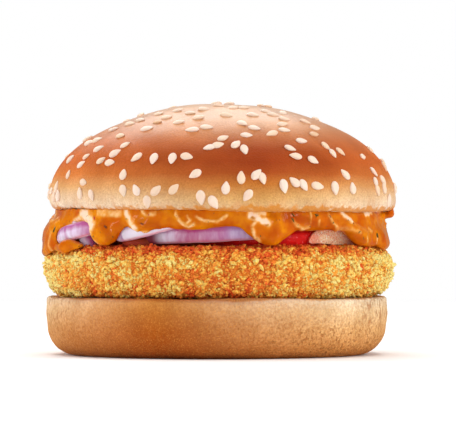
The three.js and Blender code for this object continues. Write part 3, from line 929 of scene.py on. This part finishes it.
def scatter_crumbs(kind, rows, surface):
    """Crumbs of one kind all over the patty, more of the chunky ones where they clump."""
    chunky = kind["sides"] == 5
    places = []
    while len(places) < kind["count"]:
        radius, level = random.choice(rows)
        spot = (around(radius, random.uniform(0, 360), level)
                + Vector((PATTY_X, PATTY_Y, random.uniform(-0.2, 0.2))))
        if chunky and lumps(spot, 0.45, 0, 0, 30) < random.uniform(-0.7, 0.1):
            continue
        place, normal, _, _ = surface.find_nearest(spot)
        size = kind["least"] + (kind["most"] - kind["least"]) * random.random() ** 1.6
        stands = random.uniform(-0.4, 0.3) * size
        lean = random_lean(0.7, 0.7)
        matrix = standing_on(place, normal, random.uniform(0, math.tau), lift=stands) @ lean
        # crumbs sunk lower are painted darker and redder, and those standing out paler: painted shade
        # between the crumbs
        tone = fried_tone(place) + random.gauss(0, 0.12) + 0.01 + 0.55 * stands / size
        places.append((matrix @ Matrix.Scale(size, 4), tone))
    return joined_copies(crumb_shapes(16, kind["rough"], kind["sides"]), places)


def make_patty(core_material, crumbs_material):
    flat = 0.872 * PATTY_RADIUS
    bulge = PATTY_RADIUS - flat
    waist = PATTY_LOW + 8.2
    side = (arc(flat, waist, bulge, waist - PATTY_LOW, -90, 0, 24)
            + arc(flat, waist, bulge, PATTY_TOP - waist, 0, 90, 24)[1:])
    outline = (evenly([(0, PATTY_LOW), (flat, PATTY_LOW)], 2.2)[:-1]
               + evenly(side, 0.5)[:-1] + evenly([(flat, PATTY_TOP), (0, PATTY_TOP)], 2.2))
    bm = lathe(outline, steps=600)

    def crust(co):
        out = smoothstep(0.6 * flat, flat, from_axis(co))
        clumps = abs(lumps(co, 0.62))
        grains = abs(lumps(co, 1.3, 3, 3, 3))
        swell = lumps(co, 0.14, 9, 2, 5)
        return out * (0.9 * clumps + 0.6 * grains + 0.35 * swell - 0.75)

    moved_along_normals(bm, crust)
    bmesh.ops.translate(bm, vec=(PATTY_X, PATTY_Y, 0), verts=bm.verts)
    mark(bm, "tone", lambda vert: fried_tone(vert.co))
    surface = BVHTree.FromBMesh(bm)
    finished(shade_undersides(bm), "patty_core", core_material, nodes=["patty"])

    rows = evenly([(flat - 1.5, PATTY_LOW)] + side + [(flat - 3, PATTY_TOP)], 0.4)
    for name, kind in CRUMBS.items():
        finished(shade_undersides(scatter_crumbs(kind, rows, surface)), name, crumbs_material)


# ---------------------------------------------------------------- onion and tomato


def petal_ring(centre, thick, tall):
    """The section of a petal, an oval with squared corners, as (radius, height) points."""
    squareness = 3.2  # 2 gives a plain oval
    ring = []
    for across, up in arc(0, 0, 1, 1, 0, 360, 28)[:-1]:
        stretch = (abs(across) ** squareness + abs(up) ** squareness) ** (-1 / squareness)
        ring.append((centre + across * stretch * thick / 2, up * stretch * tall / 2))
    return ring


def petal_body(ring, start, span, steps):
    """A closed body along an arc about +Z, from a bearing and an angle in degrees."""
    bm = bmesh.new()
    verts = [bm.verts.new((0, -r, z)) for r, z in ring]
    edges = [bm.edges.new((verts[i], verts[(i + 1) % len(verts)])) for i in range(len(verts))]
    turn = Matrix.Rotation(math.radians(start), 3, "Z")
    bmesh.ops.rotate(bm, cent=(0, 0, 0), matrix=turn, verts=verts)
    bmesh.ops.spin(bm, geom=verts + edges, cent=(0, 0, 0), axis=(0, 0, 1), dvec=(0, 0, 0),
                   angle=math.radians(span), steps=steps, use_merge=False, use_duplicate=False)
    bmesh.ops.holes_fill(bm, edges=[edge for edge in bm.edges if edge.is_boundary], sides=0)
    bmesh.ops.triangulate(bm, faces=[face for face in bm.faces if len(face.verts) > 4])
    bmesh.ops.recalc_face_normals(bm, faces=bm.faces)
    return bm


def washed_at(washes, length):
    """How white and how cool a petal is at a share of its length."""
    for (low, white0, cool0), (high, white1, cool1) in zip(washes, washes[1:]):
        if length <= high:
            part = smoothstep(low, high, length)
            return white0 + (white1 - white0) * part, cool0 + (cool1 - cool0) * part


def make_petal(name, petal, material):
    tall = petal.get("height", PETAL_HEIGHT)
    thick = PETAL_THICKNESS
    radius = petal["radius"]
    centre = radius - thick / 2
    span = petal["end"] - petal["start"]
    middle = (petal["start"] + petal["end"]) / 2
    spacing = 0.5
    steps = max(16, round(radius * math.radians(span) / spacing))
    bm = petal_body(petal_ring(centre, thick, tall), petal["start"], span, steps)

    skin, along, high, white, cool, painted_shadow = (
        bm.verts.layers.float.new(key) for key in ("skin", "along", "up", "white", "cool", "painted_shadow"))
    washes = WASHES.get(name, OTHER_WASHES)
    stain_and_shade = petal.get("stain_and_shade", 0.0)
    own_noise = Vector((len(name), radius, 0))

    def waver(distance, row):
        return noise.noise(Vector((distance, row, 0)) + own_noise)

    for vert in bm.verts:
        bearing = bearing_of(vert.co.x, vert.co.y)
        end_share = min(1.0, abs(2 * apart(bearing, middle) / span))
        length = min(1.0, max(0.0, apart(bearing, petal["start"]) / span))
        across = from_axis(vert.co) - centre
        up = vert.co.z
        side = smoothstep(-0.1, 0.5, across / (thick / 2))
        vert[skin] = side * (1 - smoothstep(0.86, 1.0, abs(2 * up / tall)))
        vert[along] = math.radians(bearing) * radius
        vert[high] = up / tall + 0.5
        vert[white], vert[cool] = washed_at(washes, length)
        # painted shadow, fading out along the petal from its left end
        vert[painted_shadow] = 1 - smoothstep(0.5 * stain_and_shade, stain_and_shade, length) if stain_and_shade else 0.0

        narrow = 1 - 0.3 * end_share ** 5
        belly = 0.5 * (1 - (2 * up / tall) ** 2)
        ripple = 0.14 * waver(vert[along] * 0.35, up * 0.08)
        lean = 0.25 * waver(vert[along] * 0.1, 5)
        sag = 0.25 * waver(vert[along] * 0.12, 9)
        vert.co = around(centre + belly + across * narrow + ripple + lean, bearing, up * narrow + sag)
    foot = around(radius, middle, 0)
    there = Matrix.Translation((petal["x"] + foot.x, petal["y"] + foot.y, petal["base"] + tall / 2))
    slope = Matrix.Rotation(math.radians(petal["lift"]), 4, foot.normalized())
    bmesh.ops.transform(bm, matrix=there @ slope @ Matrix.Translation(-foot), verts=bm.verts)
    finished(bm, name + "_flesh", material, nodes=[name])


def make_tomato(name, material, voxel, swell=1.0, cut=False):
    """A slice from its CAD body, swell times as thick. Where cut, it rises to the middle of its
    cut face, which shows its flesh."""
    bm = with_modifier(node_copy(name), "REMESH", mode="VOXEL", voxel_size=voxel)
    smoothed(bm, times=5)
    low = min(vert.co.z for vert in bm.verts)
    high = max(vert.co.z for vert in bm.verts)
    out = around(1, CUT_BEARING, 0)
    aside = 1.5  # the middle of the cut face lies this far to the left of the point on it
    half = 11  # the slice slopes down from there over this length

    def along_cut(co):
        """How far a place is from the middle of the cut face, along it."""
        return abs((co - CUT_POINT).dot(Vector((-out.y, out.x, 0))) + aside)

    def skin_share(vert):
        if not cut:
            return 1 - 0.3 * smoothstep(0.55, 0.85, abs(vert.normal.z))
        behind = smoothstep(-0.3, -0.7, (vert.co - CUT_POINT).dot(out))
        return max(behind, 0.5 * smoothstep(3.5, 8.5, along_cut(vert.co)))

    for vert in bm.verts:
        if cut:
            slope = min(1.0, along_cut(vert.co) / half) ** 2
            vert.co.z = low + (vert.co.z - low) * (1.16 - 0.85 * slope)
        else:
            vert.co.z += (swell - 1) * (vert.co.z - (low + high) / 2)
    bm.normal_update()
    mark(bm, "skin", skin_share)
    mark(bm, "edge", lambda vert: smoothstep(low + 0.7 * (high - low), high, vert.co.z))
    moved_along_normals(bm, lambda co: 0.07 * lumps(co, 1.4) + 0.12 * lumps(co, 0.3))
    finished(bm, name + "_flesh", material, nodes=[name])


# ---------------------------------------------------------------- sauce


def more_folds(start, end):
    """Folds of the same kind for the part of the skirt between two bearings."""
    folds = []
    bearing = start
    while bearing < end:
        wide = random.uniform(3, 7)
        low = random.uniform(36.6, 39)
        rise = random.uniform(1, 2.4)
        course = [(bearing + wide * t, low + rise * t * t) for t in (-1, -0.5, 0, 0.5, 0.9)]
        stands = random.uniform(0.2, 0.35)
        tint = random.uniform(0.1, 0.9)
        folds.append((stands, tint, random.uniform(0.4, 0.65), course))
        if random.random() < 0.3:
            folds.append((0.2, 0.9, 0.9, [(bearing - 2, 40.4), (bearing + 1, random.uniform(37.5, 39))]))
        bearing += random.uniform(7, 13)
    return folds


def by_degree(folds):
    """The folds near each whole degree, so that a point looks at few of them."""
    found = {}
    for fold in folds:
        bearings = [bearing for bearing, _ in fold[3]]
        for degree in range(int(min(bearings)) - 4, int(max(bearings)) + 6):
            found.setdefault(degree % 360, []).append(fold)
    return found


def distance_to(course, bearing, level):
    """The distance in mm, on the skirt, from a place to a course of (bearing, height) points."""
    nearest = 99.0
    for (b0, z0), (b1, z1) in zip(course, course[1:]):
        along = (b1 - b0) * SKIRT_DEGREE
        climb = z1 - z0
        away = apart(bearing, b0) * SKIRT_DEGREE
        up = level - z0
        share = min(1.0, max(0.0, (away * along + up * climb) / (along * along + climb * climb + 1e-9)))
        nearest = min(nearest, math.hypot(away - share * along, up - share * climb))
    return nearest


def lowest_round(bm, least_radius):
    """The lower edge of a skirt: a function of bearing, read from the body."""
    edge = [90.0] * 180
    for vert in bm.verts:
        if from_axis(vert.co) > least_radius:
            slot = int(bearing_of(vert.co.x, vert.co.y) % 360 / 2)
            edge[slot] = min(edge[slot], vert.co.z)
    edge = [sum(edge[(slot + step) % 180] for step in range(-3, 4)) / 7 for slot in range(180)]

    def at(bearing):
        place = bearing % 360 / 2
        slot = int(place)
        share = place - slot
        return edge[slot % 180] * (1 - share) + edge[(slot + 1) % 180] * share
    return at


def split_sauce():
    """The sauce between the layers, and the skirt outside them, with its pools, as two bodies."""
    whole = node_copy("sauce")
    low, high, radius = 19, 51, 41
    core = lathe([(0, low), (radius, low), (radius, high), (0, high)], steps=96)
    cutter = as_object(core, "sauce_core")
    cut = dict(solver="EXACT", object=cutter)
    inside = with_modifier(whole.copy(), "BOOLEAN", operation="INTERSECT", **cut)
    skirt = with_modifier(whole, "BOOLEAN", operation="DIFFERENCE", **cut)
    bpy.data.objects.remove(cutter)
    for place, half in POOLS:
        matrix = Matrix.Translation(place) @ Matrix.Diagonal((*half, 1))
        bmesh.ops.create_uvsphere(skirt, u_segments=20, v_segments=12, radius=1, matrix=matrix)
    return inside, skirt


def fold_skirt(bm):
    """Raises the skirt's folds, smears and rolled edge, and stores how its colour changes there: cream
    film with painted highlights, and painted shade.
    """
    edge_at = lowest_round(bm, 44.5)
    folds_at = by_degree(FOLDS + more_folds(82, 284))
    cream_and_highlight, shade_streaks, shaded_inside = (bm.verts.layers.float.new(key) for key in ("cream_and_highlight", "shade_streaks", "shaded_inside"))
    front_pool = Vector(POOLS[1][0])
    bm.normal_update()
    shifts = []
    for vert in bm.verts:
        co = vert.co
        radius = from_axis(co)
        outwards = Vector((co.x, co.y, 0)).normalized()
        outer = smoothstep(42.5, 45, radius) * smoothstep(-0.3, 0.3, vert.normal.dot(outwards))
        in_pool = 1 - smoothstep(5, 7, (co - front_pool).length)
        # painted shade: the sauce among the layers and in the front pool is painted darker red
        vert[shaded_inside] = max(1 - smoothstep(42, 45.5, radius), in_pool)
        if outer <= 0:
            shifts.append(Vector())
            continue
        bearing = bearing_of(co.x, co.y)
        total = 0.22 * lumps(co, 0.3, 4, 0, 1) + 0.1 * lumps(co, 0.8)
        total += 0.25 * bump_at(co.z - edge_at(bearing) - 1.1, 0.9)
        ragged = 0.3 * lumps(co, 0.7)
        cream_highlight_share = streak_shade = 0.0
        for stands, tint, wide, course in folds_at.get(math.floor(bearing) % 360, ()):
            distance = distance_to(course, bearing, co.z) + ragged
            total += stands * bump_at(distance, wide)
            near = 0.8 * (1 - smoothstep(0.1 * wide, 0.7 * wide + 0.45, distance))
            cream_highlight_share = max(cream_highlight_share, tint * near)
            # painted shade where the tint is below 0
            streak_shade = max(streak_shade, -tint * near)
        total += 0.3 * bump_at(co.z - 41.1, 0.5)
        vert[cream_and_highlight] = cream_highlight_share * outer * (1 - streak_shade)
        vert[shade_streaks] = streak_shade * outer
        shifts.append(vert.normal * (outer * (total + 0.12)))
    for vert, shift in zip(bm.verts, shifts):
        vert.co += shift
        co = vert.co
        ragged = 0.35 + max(0.0, lumps(Vector((co.x, co.y, 3)), 0.7))
        co.z += ragged * smoothstep(40.6, 41.2, co.z) * smoothstep(45, 47, from_axis(co))
    bm.normal_update()


def make_sauce(material):
    """The sauce as one body. Gives back the skirt's surface, for the herbs to lie on."""
    inside, skirt = split_sauce()
    bm = with_modifier(skirt, "REMESH", mode="VOXEL", voxel_size=0.34)
    smoothed(bm, times=34)
    fold_skirt(bm)
    surface = BVHTree.FromBMesh(bm)
    # painted shade over all the sauce between the layers
    mark(inside, "shaded_inside", lambda vert: 1.0)
    mesh = bpy.data.meshes.new("inside")
    inside.to_mesh(mesh)
    inside.free()
    bm.from_mesh(mesh)
    finished(bm, "sauce_body", material, nodes=["sauce"])
    return surface


def make_herbs(surface, material):
    """The flecks that show, then small ones all round, each laid flat on the skirt."""
    chips = crumb_shapes(8, roughness=0.3)
    reach = 51  # about as far out as the skirt
    highest = 41.4  # just below the crown
    spots = [(around(reach, bearing, level), size, tone) for bearing, level, size, tone in HERBS]
    for _ in range(90):
        spot = around(reach, random.uniform(-180, 180), random.uniform(30, 41.2))
        spots.append((spot, random.uniform(0.12, 0.24), random.uniform(0, 0.7)))
    flat = Matrix.Diagonal((1.2, 0.8, 0.3, 1))
    places = []
    for spot, size, tone in spots:
        place, normal, _, distance = surface.find_nearest(spot)
        outwards = Vector((place.x, place.y, 0)).normalized()
        if distance > 6 or normal.dot(outwards) < 0.3 or place.z > highest:
            continue
        laid = standing_on(place, normal, random.uniform(0, math.tau))
        places.append((laid @ Matrix.Scale(0.85 * size, 4) @ flat, tone))
    finished(joined_copies(chips, places), "herb_chips", material)


# ---------------------------------------------------------------- stage


def make_floor():
    bm = bmesh.new()
    bmesh.ops.create_grid(bm, x_segments=8, y_segments=8, size=0.7)  # metres from its middle
    floor = as_object(bm, "floor")
    floor.data.materials.append(floor_material())
    floor.visible_glossy = False


def light_world():
    """White to the camera, soft light on the food, and in its gloss only what lies behind."""
    world = bpy.data.worlds.new("studio")
    world.use_nodes = True
    tree = world.node_tree
    path = add(tree, "ShaderNodeLightPath")
    way = add(tree, "ShaderNodeSeparateXYZ", {0: add(tree, "ShaderNodeTexCoord").outputs["Generated"]})
    soft = 0.38
    strength = times_add(tree, path.outputs["Is Camera Ray"], 1 - soft, soft)
    in_gloss = times_add(tree, between(tree, way.outputs["Y"], 0.5, 0.95), 0.22, -0.34)
    strength = times_add(tree, path.outputs["Is Glossy Ray"], in_gloss, strength)
    tree.nodes["Background"].inputs["Color"].default_value = grey(1.0)
    tree.links.new(strength, tree.nodes["Background"].inputs["Strength"])
    bpy.context.scene.world = world


def set_up(name, data, place, aim):
    """A light or camera at a place, turned to face another."""
    made = bpy.data.objects.new(name, data)
    made.location = place
    made.rotation_euler = (Vector(aim) - Vector(place)).to_track_quat("-Z", "Y").to_euler()
    bpy.context.collection.objects.link(made)
    return made


def area_light(name, place, size, power, gloss=False):
    data = bpy.data.lights.new(name, "AREA")
    data.shape = "RECTANGLE"
    data.size, data.size_y = size
    data.energy = power
    set_up(name, data, place, (0, 0, 0.045)).visible_glossy = gloss


def set_lights():
    """Places and sizes in metres, power in watts. The sparkles give the wet foods their glints."""
    area_light("top", (0.0, 0.0, 1.2), (1.0, 1.0), 5.9)
    area_light("back", (-0.2, 0.75, 0.75), (0.9, 0.5), 4.3, gloss=True)
    area_light("key_right", (0.85, -0.2, 0.36), (0.4, 0.5), 3.9)
    area_light("fill_left", (-0.85, 0.1, 0.3), (0.35, 0.5), 3.5)
    area_light("front", (-0.1, -1.1, 0.09), (0.5, 0.3), 2.2)
    area_light("sparkle_top", (0.0, -0.6, 0.75), (0.5, 0.06), 1.0, gloss=True)
    area_light("sparkle_right", (0.7, -0.55, 0.25), (0.06, 0.3), 0.5, gloss=True)
    area_light("sparkle_left", (-0.7, -0.55, 0.25), (0.06, 0.3), 0.5, gloss=True)


def set_camera():
    scene = bpy.context.scene
    scene.view_settings.view_transform = "Standard"
    data = bpy.data.cameras.new("camera")
    data.lens = 341  # millimetres
    data.clip_end = 20  # metres
    scene.camera = set_up("camera", data, (0.0033, -1.25, 0.042), (0.0033, 0, 0.0394))


# ---------------------------------------------------------------- the burger

make_floor()
light_world()
set_lights()
set_camera()

inner_crumb = crumb_material()
crown_surface = make_crown(crust_material(), inner_crumb)
make_seeds(crown_surface, seed_material())
make_heel(heel_material(), inner_crumb)

patty_crust = fried_material("patty_crust", stops(
    (0.0, 206, 70, 26), (0.3, 228, 112, 34), (0.6, 244, 142, 44), (0.9, 255, 168, 60)))
fried_crumbs = fried_material("fried_crumbs", stops(
    (0.0, 238, 92, 36), (0.18, 250, 138, 48), (0.42, 255, 172, 64), (0.68, 255, 208, 94),
    (1.0, 255, 232, 142)))
make_patty(patty_crust, fried_crumbs)

onion = onion_material()
for petal_name, petal_sizes in PETALS.items():
    make_petal(petal_name, petal_sizes, onion)

tomato = tomato_material()
make_tomato("tomato_front", tomato, voxel=0.42, swell=1.25)
make_tomato("tomato_back", tomato, voxel=0.42)
make_tomato("tomato_end", tomato, voxel=0.22, cut=True)

skirt_surface = make_sauce(sauce_material())
make_herbs(skirt_surface, herb_material())
